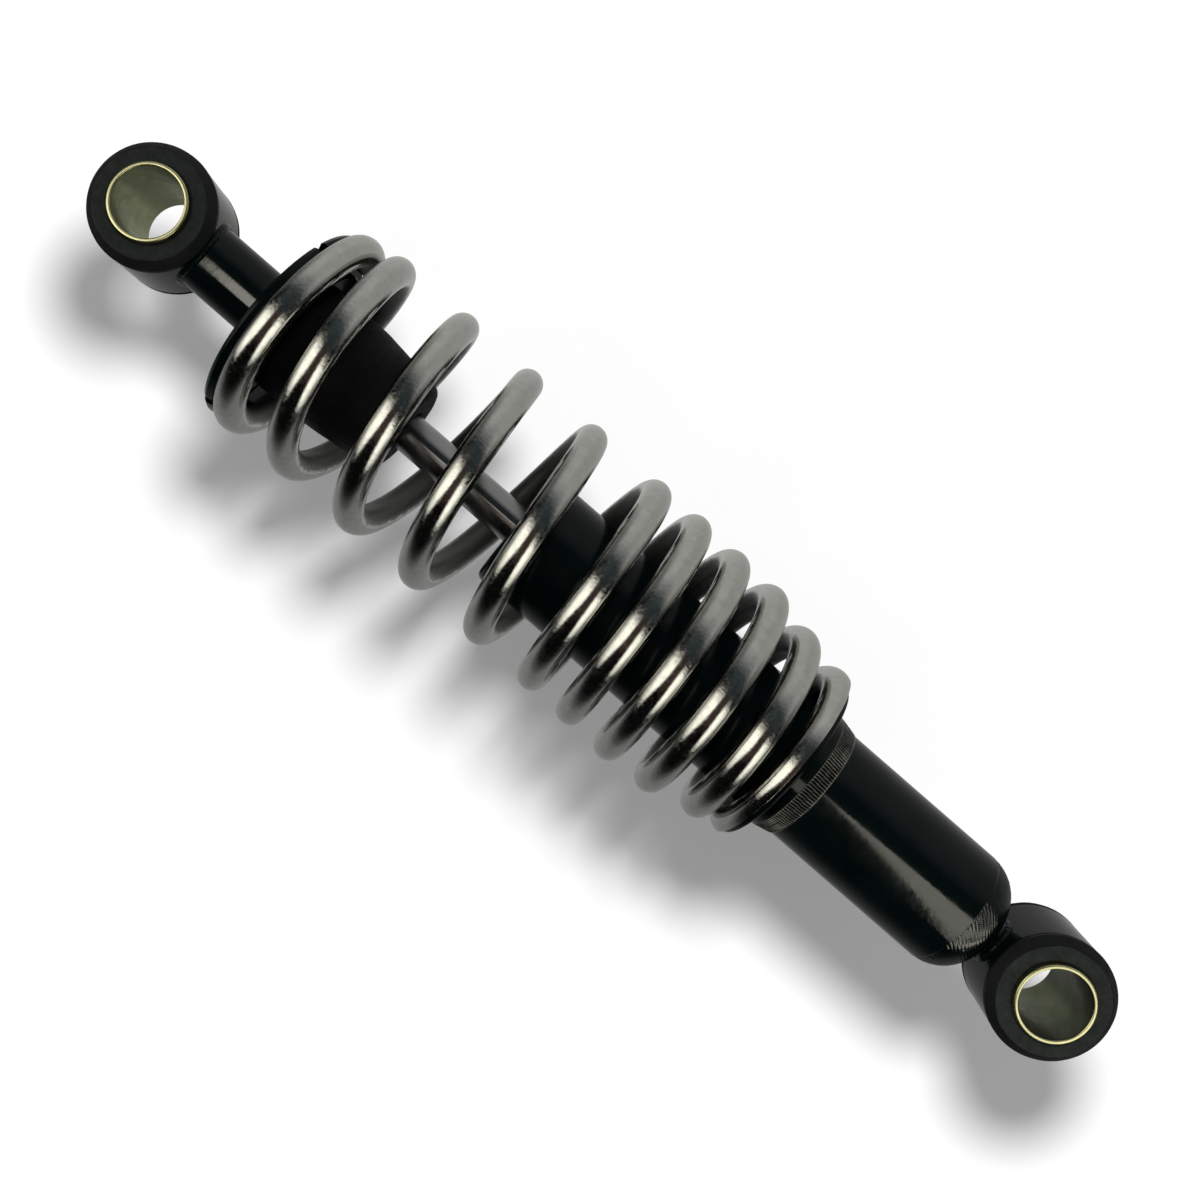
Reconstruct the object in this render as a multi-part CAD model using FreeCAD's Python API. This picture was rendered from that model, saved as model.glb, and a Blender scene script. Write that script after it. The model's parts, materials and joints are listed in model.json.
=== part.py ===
import FreeCAD, Part
import math
import os

# Motorcycle rear shock absorber, twin-tube damper with a two-rate coil spring.
# Millimetres. The origin is the centre of the lower eye. +X runs along the damper
# to the upper eye, and +Z is the axis of the lower eye's bore.

# ---- driving dimensions -------------------------------------------------------
eye_to_eye = 270.0
eye_twist = 8.3              # upper eye turned about X from the lower one, degrees

barrel_r = 14.7              # eye barrels
barrel_bore_r = 12.5
barrel_half = 9.5
barrel_edge = 0.5
sleeve_bore_r = 8.2
sleeve_wall = 1.0
sleeve_half = 14.0
sleeve_edge = 0.25
bush_running = 0.05          # radial clearance between sleeve and rubber
rubber_flange_r = 14.8
rubber_flange_step = 0.8     # cylindrical part of the flange
rubber_face_r = 13.0
rubber_half = 12.5

rod_r = 4.75
rod_running = 0.05
rod_clear = 0.4              # rod through the seat halves and the bump stop
stem_r = 8.35
stem_end_x = 230.3

seat_plane_upper = 230.9
seat_flange_r = 26.4
seat_flange = 2.6
seat_hub_r = 11.6
seat_hub_top = 236.4
seat_spigot_r = 19.2
seat_spigot = 4.0
seat_pocket_floor = 230.2
seat_pocket_clear = 0.3
seat_edge = 0.6
near_half_start = 43.0       # degrees, from -Y towards +Z
near_half_end = 149.0
seat_gap_angle = 6.0

bump_end_x = 195.3
bump_steps = ((bump_end_x, 12.2), (206.5, 13.6), (213.0, 14.4))    # (x, radius) up to the seat
bump_top_r = 14.8
bump_nose = 2.6              # rounding of the free end

tube_r = 14.9                # reservoir tube
tube_wall = 1.6
tube_start = 26.7
tube_end = 160.8
lip_start = 159.6
lip_inner_r = 11.8
lip_round = 1.2

cap_round = 9.7              # the bottom cap is rounded with a quarter circle
cap_floor = 20.5
cap_inner_r = 11.6

seat_plane_lower = 80.0
lower_flange_r = 22.0
lower_flange = 1.8
lower_collar_r = 16.2
knurl_top = 74.8
knurl_end = 70.0
knurl_end_r = 15.1

wire_r = 3.65
coil_r = 25.1
wire_points_per_turn = 12
first_turn = 0.95
last_turn = 11.55
first_x = 228.9              # centre line at the upper tip; both ends are ground flat
# Down the spring, turn by turn: pitch, change of radius, and the shift off the axis
# that a spring takes up in its seats.
pitch_steps = ((first_turn, 2.9), (1.49, 2.9), (1.82, 19.65), (5.92, 19.65),
               (6.12, 12.0), (10.9, 12.0), (11.15, 3.2), (last_turn, 3.2))
radius_steps = ((first_turn, -1.2), (1.3, 0.0), (9.0, 0.0), (9.6, -1.2), (10.25, -3.3),
                (11.25, -5.2), (last_turn, -5.4))
side_steps = ((first_turn, 1.0), (2.0, 1.5), (7.0, 1.5), (9.3, 0.6), (last_turn, 0.5))

pressure_bore_r = 10.0
pressure_wall = 1.2
pressure_start = 27.0
pressure_end = 148.0
piston_r = 9.8
piston_ring_r = 9.94
piston_start = 85.6
piston_width = 12.0
ring_width = 5.0
ring_depth = 1.0
shim = 0.6
shim_r = 8.2
nut_across_flats = 15.0
nut_height = 5.0
rod_tail = 1.0
rod_neck_r = 4.0
rebound_r = 7.6
rebound_top = 142.7

guide_start = 143.0
guide_end = 155.0
guide_spigot_r = 9.9
guide_r = 13.2
bushing_r = 6.0
bushing_inset = 1.0
ring_groove_start = 150.2
ring_groove_width = 2.0
ring_groove_depth = 1.5
o_ring_r = 0.78
seal_end = 158.2
wiper_r = 7.0
wiper_end = 160.4

valve_foot_r = 11.5
valve_foot_end = 23.0
valve_slot = 4.0
valve_disc_r = 11.2
valve_spigot_r = 9.9
valve_spigot_end = 30.0
valve_hole_r = 1.2
valve_hole_ring = 5.6
valve_plate_r = 7.4
valve_disc_thickness = 0.4
rivet_r = 2.0
rivet_head_r = 3.4
rivet_head = 1.0

lower_weld = 1.2             # how far a weld bead climbs along each side of its corner
upper_weld = 1.05

neck_r = tube_r - cap_round

V = FreeCAD.Vector
ORIGIN = V(0, 0, 0)
X_AXIS = V(1, 0, 0)
Z_AXIS = V(0, 0, 1)
UPPER = V(eye_to_eye, 0, 0)


# ---- helpers --------------------------------------------------------------------
def rod_shape(x0, x1, radius):
    """Solid cylinder along X."""
    return Part.makeCylinder(radius, x1 - x0, V(x0, 0, 0), X_AXIS)


def ring_shape(x0, x1, inner, outer):
    """Plain ring along X."""
    return rod_shape(x0, x1, outer).cut(rod_shape(x0, x1, inner))


def turned(points):
    """Solid of revolution about X from a closed outline of (x, radius) points."""
    corners = [V(x, r, 0) for x, r in points]
    outline = Part.makePolygon(corners + [corners[0]])
    return Part.Face(outline).revolve(ORIGIN, X_AXIS, 360)


def post(centre, half, radius):
    """Solid cylinder along Z, centred on an eye."""
    return Part.makeCylinder(radius, 2 * half, centre - Z_AXIS * half, Z_AXIS)


def round_edges(shape, radius, wanted):
    """Fillet the edges for which wanted(edge) is true."""
    edges = [edge for edge in shape.Edges if wanted(edge)]
    return shape.makeFillet(radius, edges)


def is_circle(edge, radius):
    return isinstance(edge.Curve, Part.Circle) and abs(edge.Curve.Radius - radius) < 1e-3


def twisted(shape):
    """Turn a piece of the upper eye about the damper's axis."""
    return shape.rotated(ORIGIN, X_AXIS, eye_twist)


def between(steps, turn):
    """Straight-line value between the (turn, value) steps."""
    for (t0, v0), (t1, v1) in zip(steps, steps[1:]):
        if turn <= t1:
            return v0 + (v1 - v0) * (turn - t0) / (t1 - t0)
    return steps[-1][1]


# ---- eyes -------------------------------------------------------------------------
def eye_barrel(centre):
    barrel = post(centre, barrel_half, barrel_r).cut(post(centre, barrel_half, barrel_bore_r))
    return round_edges(barrel, barrel_edge, lambda e: is_circle(e, barrel_r))


def bush_rubber(centre):
    """Rubber spool: a core inside the barrel with a flange over each end."""
    core = post(centre, barrel_half, barrel_bore_r)
    cone = rubber_half - barrel_half - rubber_flange_step
    spool = core
    for side in (1, -1):
        base = centre + Z_AXIS * (side * barrel_half)
        flange = Part.makeCylinder(rubber_flange_r, rubber_flange_step, base, Z_AXIS * side)
        top = base + Z_AXIS * (side * rubber_flange_step)
        crown = Part.makeCone(rubber_flange_r, rubber_face_r, cone, top, Z_AXIS * side)
        spool = spool.fuse([flange, crown])
    bore = post(centre, sleeve_half, sleeve_bore_r + sleeve_wall + bush_running)
    return spool.cut(bore).removeSplitter()


def bush_sleeve(centre):
    outer = sleeve_bore_r + sleeve_wall
    sleeve = post(centre, sleeve_half, outer).cut(post(centre, sleeve_half, sleeve_bore_r))
    return round_edges(sleeve, sleeve_edge, lambda e: is_circle(e, outer))


def fillet_weld(centre, side, shaft_r, reach):
    """Bead in the corner between an eye barrel and the shaft that leaves it along X."""
    wall = centre.x + side * barrel_r
    deep = wall - side * barrel_r / 2
    profile = [(wall + side * reach, shaft_r), (wall, shaft_r + reach), (deep, shaft_r + reach),
               (deep, shaft_r)]
    return turned(profile).cut(post(centre, sleeve_half, barrel_r))


# ---- upper end: rod, stem, seat, bump stop ---------------------------------------
def upper_stem():
    saddle = post(UPPER, sleeve_half, barrel_r)
    return rod_shape(stem_end_x, eye_to_eye, stem_r).cut(saddle)


def piston_rod():
    neck_start = piston_start - shim - nut_height - rod_tail
    neck = rod_shape(neck_start, piston_start + piston_width + shim, rod_neck_r)
    shaft = rod_shape(piston_start + piston_width + shim, stem_end_x, rod_r)
    return neck.fuse(shaft).removeSplitter()


def upper_seat_blank():
    """Full seat before it is split: spigot, flange, hub and the stem's pocket."""
    plane = seat_plane_upper
    nose = plane - seat_spigot
    blank = turned([(nose, rod_r + rod_clear), (nose, seat_spigot_r - seat_edge),
                    (nose + seat_edge, seat_spigot_r), (plane, seat_spigot_r),
                    (plane, seat_flange_r), (plane + seat_flange, seat_flange_r),
                    (plane + seat_flange, seat_hub_r), (seat_hub_top, seat_hub_r),
                    (seat_hub_top, stem_r + seat_pocket_clear),
                    (seat_pocket_floor, stem_r + seat_pocket_clear),
                    (seat_pocket_floor, rod_r + rod_clear)])
    rim_x = plane + seat_flange
    return round_edges(blank, seat_edge,
                       lambda e: is_circle(e, seat_flange_r) and abs(e.Curve.Center.x - rim_x) < 1e-3)


def sector(start, end):
    """Wedge about X between two angles measured from -Y towards +Z."""
    reach = 2 * seat_flange_r
    steps = 8
    rim = []
    for i in range(steps + 1):
        angle = math.radians(start + (end - start) * i / steps)
        rim.append(V(0, -reach * math.cos(angle), reach * math.sin(angle)))
    wedge = Part.Face(Part.makePolygon([ORIGIN] + rim + [ORIGIN]))
    wedge.translate(V(seat_plane_upper - 2 * seat_spigot, 0, 0))
    return wedge.extrude(V(4 * seat_spigot, 0, 0))


def upper_seat_half_a():
    gap = sector(near_half_start - seat_gap_angle, near_half_end + seat_gap_angle)
    return upper_seat_blank().cut(gap)


def upper_seat_half_b():
    return upper_seat_blank().common(sector(near_half_start, near_half_end))


def bump_stop():
    top = seat_plane_upper - seat_spigot
    bore = rod_r + rod_clear
    stop = turned([(bump_end_x, bore)] + list(bump_steps) + [(top, bump_top_r), (top, bore)])
    return round_edges(stop, bump_nose, lambda e: is_circle(e, bump_steps[0][1]))


# ---- spring -------------------------------------------------------------------------
def coil_path():
    """Centre line of the wire: steps along the turns, adding up the pitch as it goes."""
    points = []
    x = first_x
    count = round((last_turn - first_turn) * wire_points_per_turn)
    step = (last_turn - first_turn) / count
    for i in range(count + 1):
        turn = first_turn + i * step
        radius = coil_r + between(radius_steps, turn)
        angle = 2 * math.pi * turn
        side = between(side_steps, turn)
        points.append(V(x, -radius * math.cos(angle) - side, radius * math.sin(angle)))
        x -= between(pitch_steps, turn + step / 2) * step
    return points


def coil_spring():
    """Round wire swept along the centre line, with both ends ground flat."""
    curve = Part.BSplineCurve()
    curve.interpolate(coil_path())
    spine = Part.Wire(curve.toShape())
    start = curve.value(curve.FirstParameter)
    direction = curve.tangent(curve.FirstParameter)[0]
    section = Part.Wire(Part.makeCircle(wire_r, start, direction))
    sweep = Part.BRepOffsetAPI.MakePipeShell(spine)
    sweep.setFrenetMode(True)
    sweep.add(section)
    sweep.build()
    sweep.makeSolid()
    wire = sweep.shape()
    length = seat_plane_upper - seat_plane_lower
    slab = rod_shape(seat_plane_lower, seat_plane_lower + length, 2 * coil_r)
    return wire.common(slab)


# ---- damper body ---------------------------------------------------------------------
def reservoir_tube():
    inner = tube_r - tube_wall
    tube = turned([(tube_start, inner), (tube_start, tube_r), (tube_end, tube_r),
                   (tube_end, lip_inner_r), (lip_start, lip_inner_r), (lip_start, inner)])
    return round_edges(tube, lip_round,
                       lambda e: is_circle(e, tube_r) and abs(e.Curve.Center.x - tube_end) < 1e-3)


def lower_end_cap():
    """Bottom cap, closed and rounded, with its neck saddled onto the lower eye."""
    start = V(tube_start, tube_r, 0)
    end = V(tube_start - cap_round, neck_r, 0)
    slant = cap_round * math.sqrt(0.5)
    middle = V(tube_start - slant, neck_r + slant, 0)
    corners = [end, V(barrel_r / 2, neck_r, 0), V(barrel_r / 2, 0, 0), V(cap_floor, 0, 0),
               V(cap_floor, cap_inner_r, 0), V(tube_start, tube_r - tube_wall, 0), start]
    edges = [Part.Arc(start, middle, end).toShape()]
    edges += [Part.makeLine(a, b) for a, b in zip(corners, corners[1:])]
    cap = Part.Face(Part.Wire(edges)).revolve(ORIGIN, X_AXIS, 360)
    return cap.cut(post(ORIGIN, sleeve_half, barrel_r))


def lower_spring_seat():
    plane = seat_plane_lower
    rim_x = plane - lower_flange
    seat = ring_shape(rim_x, plane, tube_r, lower_flange_r)
    return round_edges(seat, seat_edge,
                       lambda e: is_circle(e, lower_flange_r) and abs(e.Curve.Center.x - rim_x) < 1e-3)


def seat_retainer_ring():
    """Collar under the lower seat, with a tapered band that carries the knurl."""
    top = seat_plane_lower - lower_flange
    return turned([(top, tube_r), (top, lower_collar_r), (knurl_top, lower_collar_r),
                   (knurl_end, knurl_end_r), (knurl_end, tube_r)])


def pressure_tube():
    return ring_shape(pressure_start, pressure_end, pressure_bore_r, pressure_bore_r + pressure_wall)


def base_valve_body():
    """Foot, disc and spigot, with flow slots in the foot and a ring of holes."""
    body = turned([(cap_floor, 0), (cap_floor, valve_foot_r), (valve_foot_end, valve_foot_r),
                   (valve_foot_end, valve_disc_r), (pressure_start, valve_disc_r),
                   (pressure_start, valve_spigot_r), (valve_spigot_end, valve_spigot_r),
                   (valve_spigot_end, 0)])
    cuts = [rod_shape(cap_floor, valve_spigot_end, rivet_r)]
    slot_depth = (valve_foot_end - cap_floor) / 2
    for i in range(2):
        slot = Part.makeBox(slot_depth, 2 * valve_foot_r, valve_slot,
                            V(cap_floor, -valve_foot_r, -valve_slot / 2))
        cuts.append(slot.rotated(ORIGIN, X_AXIS, 90 * i))
    for i in range(6):
        hole = rod_shape(cap_floor, valve_spigot_end, valve_hole_r)
        hole.translate(V(0, valve_hole_ring, 0))
        cuts.append(hole.rotated(ORIGIN, X_AXIS, 60 * i))
    return body.cut(cuts)


def base_valve_disc():
    end = valve_spigot_end + valve_disc_thickness
    return ring_shape(valve_spigot_end, end, rivet_r, valve_plate_r)


def base_valve_rivet():
    head_start = valve_spigot_end + valve_disc_thickness
    shank = rod_shape(cap_floor + rivet_head, head_start, rivet_r)
    return shank.fuse(rod_shape(head_start, head_start + rivet_head, rivet_head_r)).removeSplitter()


def rod_guide():
    bore = bushing_r
    floor = ring_groove_start + ring_groove_width
    groove_r = guide_r - ring_groove_depth
    return turned([(guide_start, bore), (guide_start, guide_spigot_r), (pressure_end, guide_spigot_r),
                   (pressure_end, guide_r), (ring_groove_start, guide_r), (ring_groove_start, groove_r),
                   (floor, groove_r), (floor, guide_r), (guide_end, guide_r), (guide_end, bore)])


def guide_bushing():
    start = guide_start + bushing_inset
    return ring_shape(start, guide_end - bushing_inset, rod_r + rod_running, bushing_r)


def guide_o_ring():
    x = ring_groove_start + ring_groove_width / 2
    radius = guide_r - ring_groove_depth + o_ring_r
    return Part.makeTorus(radius, o_ring_r, V(x, 0, 0), X_AXIS)


def oil_seal():
    return ring_shape(guide_end, seal_end, rod_r + rod_running, guide_r)


def gland_washer():
    return ring_shape(seal_end, lip_start, wiper_r, guide_r)


def dust_wiper():
    inner = rod_r + rod_running
    return turned([(seal_end, inner), (seal_end, wiper_r), (lip_start, wiper_r),
                   (wiper_end, inner + seat_edge), (wiper_end, inner)])


# ---- piston ---------------------------------------------------------------------------
def piston():
    end = piston_start + piston_width
    middle = (piston_start + end) / 2
    groove = (middle - ring_width / 2, middle + ring_width / 2)
    body = turned([(piston_start, rod_neck_r), (piston_start, piston_r), (groove[0], piston_r),
                   (groove[0], piston_r - ring_depth), (groove[1], piston_r - ring_depth),
                   (groove[1], piston_r), (end, piston_r), (end, rod_neck_r)])
    cuts = []
    for i in range(6):
        hole = rod_shape(piston_start, end, valve_hole_r)
        hole.translate(V(0, (rod_neck_r + shim_r) / 2, 0))
        cuts.append(hole.rotated(ORIGIN, X_AXIS, 60 * i))
    return body.cut(cuts)


def piston_ring():
    start = piston_start + (piston_width - ring_width) / 2
    return ring_shape(start, start + ring_width, piston_r - ring_depth, piston_ring_r)


def compression_shim():
    return ring_shape(piston_start - shim, piston_start, rod_neck_r, shim_r)


def rebound_shim():
    end = piston_start + piston_width
    return ring_shape(end, end + shim, rod_neck_r, shim_r)


def piston_nut():
    end = piston_start - shim
    corner_r = nut_across_flats / 2 / math.cos(math.pi / 6)
    corners = []
    for i in range(7):
        angle = i * math.pi / 3
        corners.append(V(end - nut_height, corner_r * math.cos(angle), corner_r * math.sin(angle)))
    block = Part.Face(Part.makePolygon(corners)).extrude(V(nut_height, 0, 0))
    return block.cut(rod_shape(end - nut_height, end, rod_neck_r))


def rebound_stop():
    return ring_shape(piston_start + piston_width + shim, rebound_top, rod_r, rebound_r)


# ---- all pieces --------------------------------------------------------------------------
def all_pieces():
    return {
        "lower_eye": eye_barrel(ORIGIN),
        "lower_bush_rubber": bush_rubber(ORIGIN),
        "lower_bush_sleeve": bush_sleeve(ORIGIN),
        "lower_eye_weld": fillet_weld(ORIGIN, 1, neck_r, lower_weld),
        "lower_end_cap": lower_end_cap(),
        "reservoir_tube": reservoir_tube(),
        "lower_spring_seat": lower_spring_seat(),
        "seat_retainer_ring": seat_retainer_ring(),
        "pressure_tube": pressure_tube(),
        "base_valve_body": base_valve_body(),
        "base_valve_disc": base_valve_disc(),
        "base_valve_rivet": base_valve_rivet(),
        "rod_guide": rod_guide(),
        "guide_bushing": guide_bushing(),
        "guide_o_ring": guide_o_ring(),
        "oil_seal": oil_seal(),
        "gland_washer": gland_washer(),
        "dust_wiper": dust_wiper(),
        "coil_spring": coil_spring(),
        "upper_seat_half_a": upper_seat_half_a(),
        "upper_seat_half_b": upper_seat_half_b(),
        "bump_stop": bump_stop(),
        "piston_rod": piston_rod(),
        "piston": piston(),
        "piston_ring": piston_ring(),
        "compression_shim": compression_shim(),
        "rebound_shim": rebound_shim(),
        "piston_nut": piston_nut(),
        "rebound_stop": rebound_stop(),
        "upper_stem": twisted(upper_stem()),
        "upper_eye": twisted(eye_barrel(UPPER)),
        "upper_eye_weld": twisted(fillet_weld(UPPER, -1, stem_r, upper_weld)),
        "upper_bush_rubber": twisted(bush_rubber(UPPER)),
        "upper_bush_sleeve": twisted(bush_sleeve(UPPER)),
    }


os.makedirs("parts", exist_ok=True)
for name, shape in all_pieces().items():
    shape.exportStep("parts/" + name + ".step")
    print(name, "valid" if shape.isValid() else "INVALID", round(shape.Volume), "mm3")
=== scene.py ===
import json
import math

import bpy
from mathutils import Matrix, Vector, noise


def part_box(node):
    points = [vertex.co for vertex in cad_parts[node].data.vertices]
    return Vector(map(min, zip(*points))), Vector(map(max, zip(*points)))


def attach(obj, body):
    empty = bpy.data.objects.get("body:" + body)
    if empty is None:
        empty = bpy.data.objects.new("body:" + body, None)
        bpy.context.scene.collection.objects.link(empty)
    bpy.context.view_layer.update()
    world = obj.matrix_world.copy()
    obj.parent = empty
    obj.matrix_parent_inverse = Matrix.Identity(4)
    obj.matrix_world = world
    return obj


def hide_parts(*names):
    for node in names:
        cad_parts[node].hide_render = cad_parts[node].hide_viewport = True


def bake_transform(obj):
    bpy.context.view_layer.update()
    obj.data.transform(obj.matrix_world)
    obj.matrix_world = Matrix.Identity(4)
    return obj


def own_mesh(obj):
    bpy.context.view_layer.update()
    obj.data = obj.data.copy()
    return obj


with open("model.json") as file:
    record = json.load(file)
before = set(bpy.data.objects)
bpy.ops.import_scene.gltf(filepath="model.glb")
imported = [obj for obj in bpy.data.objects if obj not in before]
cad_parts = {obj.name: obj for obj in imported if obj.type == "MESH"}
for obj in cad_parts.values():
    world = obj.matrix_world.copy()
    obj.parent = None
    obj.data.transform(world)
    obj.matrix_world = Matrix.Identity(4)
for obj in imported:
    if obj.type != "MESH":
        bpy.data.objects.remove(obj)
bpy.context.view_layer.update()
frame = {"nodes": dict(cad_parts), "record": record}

MM = 0.001
# The wire's inner side, marked by this attribute, gets painted shade in the spring's plating.
INNER_SHADE_ATTRIBUTE = "inner_shade"            # mesh attribute: 1 where the spring wire faces the axis
EYE_TWIST = math.radians(8.3)        # upper eye against the lower one
TRAVEL = frame["record"]["behaviour"]["joints"][0]["range_m"][1]


# ---- sizes in millimetres, most of them read from the frame --------------------------
def along(node):
    """Start and end of a node along the damper."""
    low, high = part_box(node)
    return low.x / MM, high.x / MM


def radius(node):
    """Outer radius of a node that is round about the damper's axis."""
    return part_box(node)[1].z / MM


def eye_half(node):
    """Half the length of a round piece along the lower eye's axis."""
    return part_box(node)[1].z / MM


def eye_radius(node):
    """Outer radius of a round piece about the lower eye's axis."""
    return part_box(node)[1].y / MM


LOWER_EYE = Vector((0, 0, 0))        # this and the next in metres, as in the record
UPPER_EYE = Vector(frame["record"]["mounts"][1]["pos_m"])
BARREL_R = eye_radius("lower_eye")
TUBE_R = radius("reservoir_tube")
SEAT_TOP = along("coil_spring")[1]
SEAT_LOW = along("coil_spring")[0]
STEM_R = 8.35
CAP_ROUND = 9.7                      # rounding of the tube's bottom
TUBE_WALL = 1.6
WELD_ROOT = BARREL_R - 1.1           # stem and neck reach this deep into the eye barrels
ROD_HOLE = 5.15                      # in the upper seat and the bump stop


# ---- mesh building -------------------------------------------------------------------
def soften(outline, closed=True, cuts=5):
    """Outline of (x, r) or (x, r, rounding) points with its marked corners rounded."""
    count = len(outline)
    result = []
    for i, point in enumerate(outline):
        here = Vector(point[:2])
        rounding = point[2] if len(point) > 2 else 0
        inner = closed or 0 < i < count - 1
        if not rounding or not inner:
            result.append(here)
            continue
        before = Vector(outline[i - 1][:2]) - here
        after = Vector(outline[(i + 1) % count][:2]) - here
        turn = before.angle(after)
        reach = rounding / math.tan(turn / 2)
        start = here + before.normalized() * min(reach, 0.49 * before.length)
        end = here + after.normalized() * min(reach, 0.49 * after.length)
        for k in range(cuts + 1):
            t = k / cuts
            result.append(start * (1 - t) ** 2 + here * (2 * t * (1 - t)) + end * t ** 2)
    return result


def divide(outline, longest, closed=True):
    """Outline with its long straight runs cut into shorter ones."""
    result = []
    pairs = zip(outline, outline[1:] + outline[:1]) if closed else zip(outline, outline[1:])
    for a, b in pairs:
        parts = max(1, math.ceil((b - a).length / longest))
        result += [a.lerp(b, k / parts) for k in range(parts)]
    return result if closed else result + [outline[-1]]


def make_object(name, points, faces, sharp=40):
    """Smooth mesh from points in millimetres, with edges over `sharp` degrees kept sharp."""
    mesh = bpy.data.meshes.new(name)
    mesh.from_pydata([tuple(p * MM) for p in points], [], faces)
    mesh.validate()
    mesh.shade_smooth()
    mesh.set_sharp_from_angle(angle=math.radians(sharp))
    obj = bpy.data.objects.new(name, mesh)
    bpy.context.scene.collection.objects.link(obj)
    return obj


def grid_faces(rows, columns, rows_closed):
    """Quads over a grid that is closed round its columns."""
    faces = []
    for i in range(rows if rows_closed else rows - 1):
        j = (i + 1) % rows
        for k in range(columns):
            m = (k + 1) % columns
            faces.append((i * columns + k, j * columns + k, j * columns + m, i * columns + m))
    return faces


def lathe(name, outline, place=None, steps=160, shape=None, flat=True):
    """Closed body turned about X; an outline that begins and ends at radius 0 is solid.

    shape(x, angle, r) moves a point in its own half plane."""
    solid = outline[0][1] == 0
    ring_points = [p for p in outline if p[1] > 0] if solid else outline
    points = []
    for x, r in ring_points:
        for k in range(steps):
            angle = 2 * math.pi * k / steps
            px, pr = shape(x, angle, r) if shape else (x, r)
            points.append(Vector((px, pr * math.cos(angle), pr * math.sin(angle))))
    faces = grid_faces(len(ring_points), steps, not solid)
    if solid:
        for end, ring in ((outline[0], 0), (outline[-1], len(ring_points) - 1)):
            px = shape(end[0], 0, 0)[0] if shape else end[0]
            points.append(Vector((px, 0, 0)))
            centre = len(points) - 1
            first = ring * steps
            for k in range(steps):
                a, b = first + k, first + (k + 1) % steps
                faces.append((centre, a, b) if ring == 0 else (centre, b, a))
    if place:
        points = [place @ p for p in points]
    obj = make_object(name, points, faces)
    obj.data.flip_normals()
    if flat:
        obj.modifiers.new("normals", "WEIGHTED_NORMAL").keep_sharp = True
    return obj


def eye_place(centre, twist):
    """Turns the lathe's X axis into an eye's axis and moves it to the eye."""
    upright = Matrix.Rotation(-math.pi / 2, 4, "Y")
    return Matrix.Translation(centre / MM) @ Matrix.Rotation(twist, 4, "X") @ upright


def sweep(name, path, sections, closed, sharp=40):
    """Tube through rings of points; the ends are closed with flat faces when it is open."""
    columns = len(sections[0])
    points = [p for ring in sections for p in ring]
    faces = grid_faces(len(path), columns, closed)
    if not closed:
        faces.append(tuple(range(columns - 1, -1, -1)))
        last = (len(path) - 1) * columns
        faces.append(tuple(range(last, last + columns)))
    return make_object(name, points, faces, sharp)


def finish_piece(obj, body, node, material):
    """Gives a piece its body and its material, and hides the CAD node that it stands for."""
    obj.data.materials.append(material)
    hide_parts(node)
    if body:
        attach(obj, body)
    return obj


def second_material(obj, material, test, place=Matrix()):
    """Another material on the faces whose centre passes test(x, r) in the lathe's own frame."""
    obj.data.materials.append(material)
    back = place.inverted()
    for polygon in obj.data.polygons:
        spot = back @ (polygon.center / MM)
        if test(spot.x, math.hypot(spot.y, spot.z)):
            polygon.material_index = 1


# ---- materials -----------------------------------------------------------------------
def new_material(name, **sockets):
    material = bpy.data.materials.new(name)
    material.use_nodes = True
    shader = material.node_tree.nodes["Principled BSDF"]
    for key, value in sockets.items():
        shader.inputs[key.replace("_", " ")].default_value = value
    return material


def add_node(material, kind, **sockets):
    node = material.node_tree.nodes.new(kind)
    for key, value in sockets.items():
        node.inputs[key.replace("_", " ")].default_value = value
    return node


def grain(material, size, detail=3.0, stretch=(1, 1, 1), rough=0.5):
    """Noise in object space; size is the typical width of its features in millimetres."""
    links = material.node_tree.links
    coords = add_node(material, "ShaderNodeTexCoord")
    mapping = add_node(material, "ShaderNodeMapping", Scale=stretch)
    texture = add_node(material, "ShaderNodeTexNoise", Scale=1 / (size * MM), Detail=detail,
                       Roughness=rough)
    links.new(coords.outputs["Object"], mapping.inputs["Vector"])
    links.new(mapping.outputs["Vector"], texture.inputs["Vector"])
    return texture.outputs["Fac"]


def scaled(material, value, low, high, start=0.3, end=0.7):
    """Value between start and end mapped to low and high."""
    node = add_node(material, "ShaderNodeMapRange", From_Min=start, From_Max=end, To_Min=low, To_Max=high)
    material.node_tree.links.new(value, node.inputs["Value"])
    return node.outputs["Result"]


def color_ramp(tree, value, stops):
    """Colour of value between (position, colour) stops."""
    node = tree.nodes.new("ShaderNodeValToRGB")
    elements = node.color_ramp.elements
    while len(elements) < len(stops):
        elements.new(0.5)
    for element, (position, color) in zip(elements, stops):
        element.position = position
        element.color = (*color, 1)
    tree.links.new(value, node.inputs["Fac"])
    return node.outputs["Color"]


def mixed(material, value, first, second, start=0.3, end=0.7):
    """Colour between first and second as value goes from start to end."""
    return color_ramp(material.node_tree, value, ((start, first), (end, second)))


def maths(material, operation, first, second):
    """Sum, difference or product of two linked values."""
    node = add_node(material, "ShaderNodeMath")
    node.operation = operation
    material.node_tree.links.new(first, node.inputs[0])
    material.node_tree.links.new(second, node.inputs[1])
    return node.outputs["Value"]


def drive(material, socket, value):
    """Links a value to a socket of the material's shader."""
    shader = material.node_tree.nodes["Principled BSDF"]
    material.node_tree.links.new(value, shader.inputs[socket])


def relief(material, *layers):
    """Bump from (value, depth in millimetres) layers."""
    links = material.node_tree.links
    normal = None
    for value, depth in layers:
        node = add_node(material, "ShaderNodeBump", Strength=1.0, Distance=depth * MM)
        links.new(value, node.inputs["Height"])
        if normal:
            links.new(normal, node.inputs["Normal"])
        normal = node.outputs["Normal"]
    drive(material, "Normal", normal)


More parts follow.
